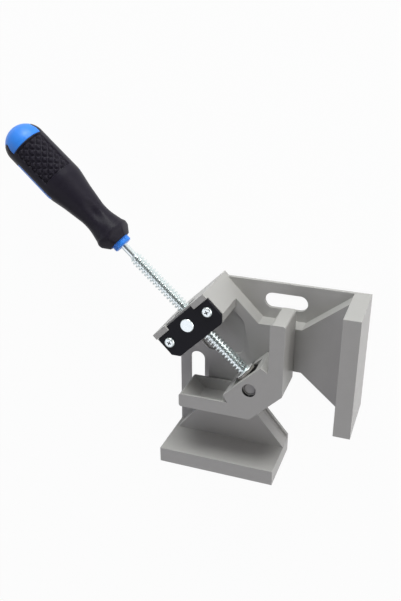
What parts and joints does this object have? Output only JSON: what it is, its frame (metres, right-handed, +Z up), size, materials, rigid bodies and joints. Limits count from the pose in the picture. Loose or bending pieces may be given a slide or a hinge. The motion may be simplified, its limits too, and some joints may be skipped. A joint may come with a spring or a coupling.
{
  "type": "corner clamp",
  "caption": "Right-angle clamp: a cast frame with fixed jaws, a swivelling nut and a screw with a handle that pushes a pivoting V-shaped jaw.",
  "frame": {"origin": "on the nut's swivel axis, in the plane of the base that lies on the bench", "axes": "+Z up out of the base, +X towards the fixed jaw whose face is square to X, -Y towards the other fixed jaw; the screw closes along the diagonal (1, -1)"},
  "size_m": [0.2755, 0.2638, 0.0522],
  "materials": {
    "grey_casting": "die-cast aluminium with a satin grey paint",
    "black_steel": "steel, satin black",
    "zinc_steel": "bright zinc plating",
    "bright_steel": "bright plated steel",
    "blue_plastic": "semi-gloss hard plastic",
    "black_rubber": "matte soft grip"
  },
  "bodies": {
    "frame": {"frame_casting": "grey_casting", "cap_plate": "black_steel", "cap_screw_right": "zinc_steel", "cap_screw_left": "zinc_steel"},
    "nut": {"trunnion_nut": "zinc_steel"},
    "swivel": {"swivel_barrel": "black_steel", "pivot_pin": "grey_casting"},
    "screw": {"spindle": "zinc_steel", "thrust_washer": "bright_steel", "retaining_clip": "bright_steel", "handle_core": "blue_plastic", "handle_grip": "black_rubber"},
    "jaw": {"jaw_casting": "grey_casting"}
  },
  "joints": [
    {"name": "nut_swivel", "type": "hinge", "parent": "frame", "child": "nut", "pos_m": [0, 0, 0.0355], "axis": [0, 0, 1], "range_deg": [-7.65, 2.35]},
    {"name": "screw_travel", "type": "slide", "parent": "nut", "child": "swivel", "axis": [0.739, -0.6737, 0], "range_m": [-0.039, 0.035]},
    {"name": "screw_spin", "type": "hinge", "parent": "swivel", "child": "screw", "pos_m": [0.04959, -0.0452, 0.0355], "axis": [0.739, -0.6737, 0], "continuous": true},
    {"name": "jaw_swing", "type": "hinge", "parent": "swivel", "child": "jaw", "pos_m": [0.04959, -0.0452, 0.0355], "axis": [0, 0, 1], "range_deg": [-3.35, 8.65]}
  ],
  "couplings": [
    {"joint": "screw_spin", "follows": "screw_travel", "rad_per_m": 2094.4}
  ]
}
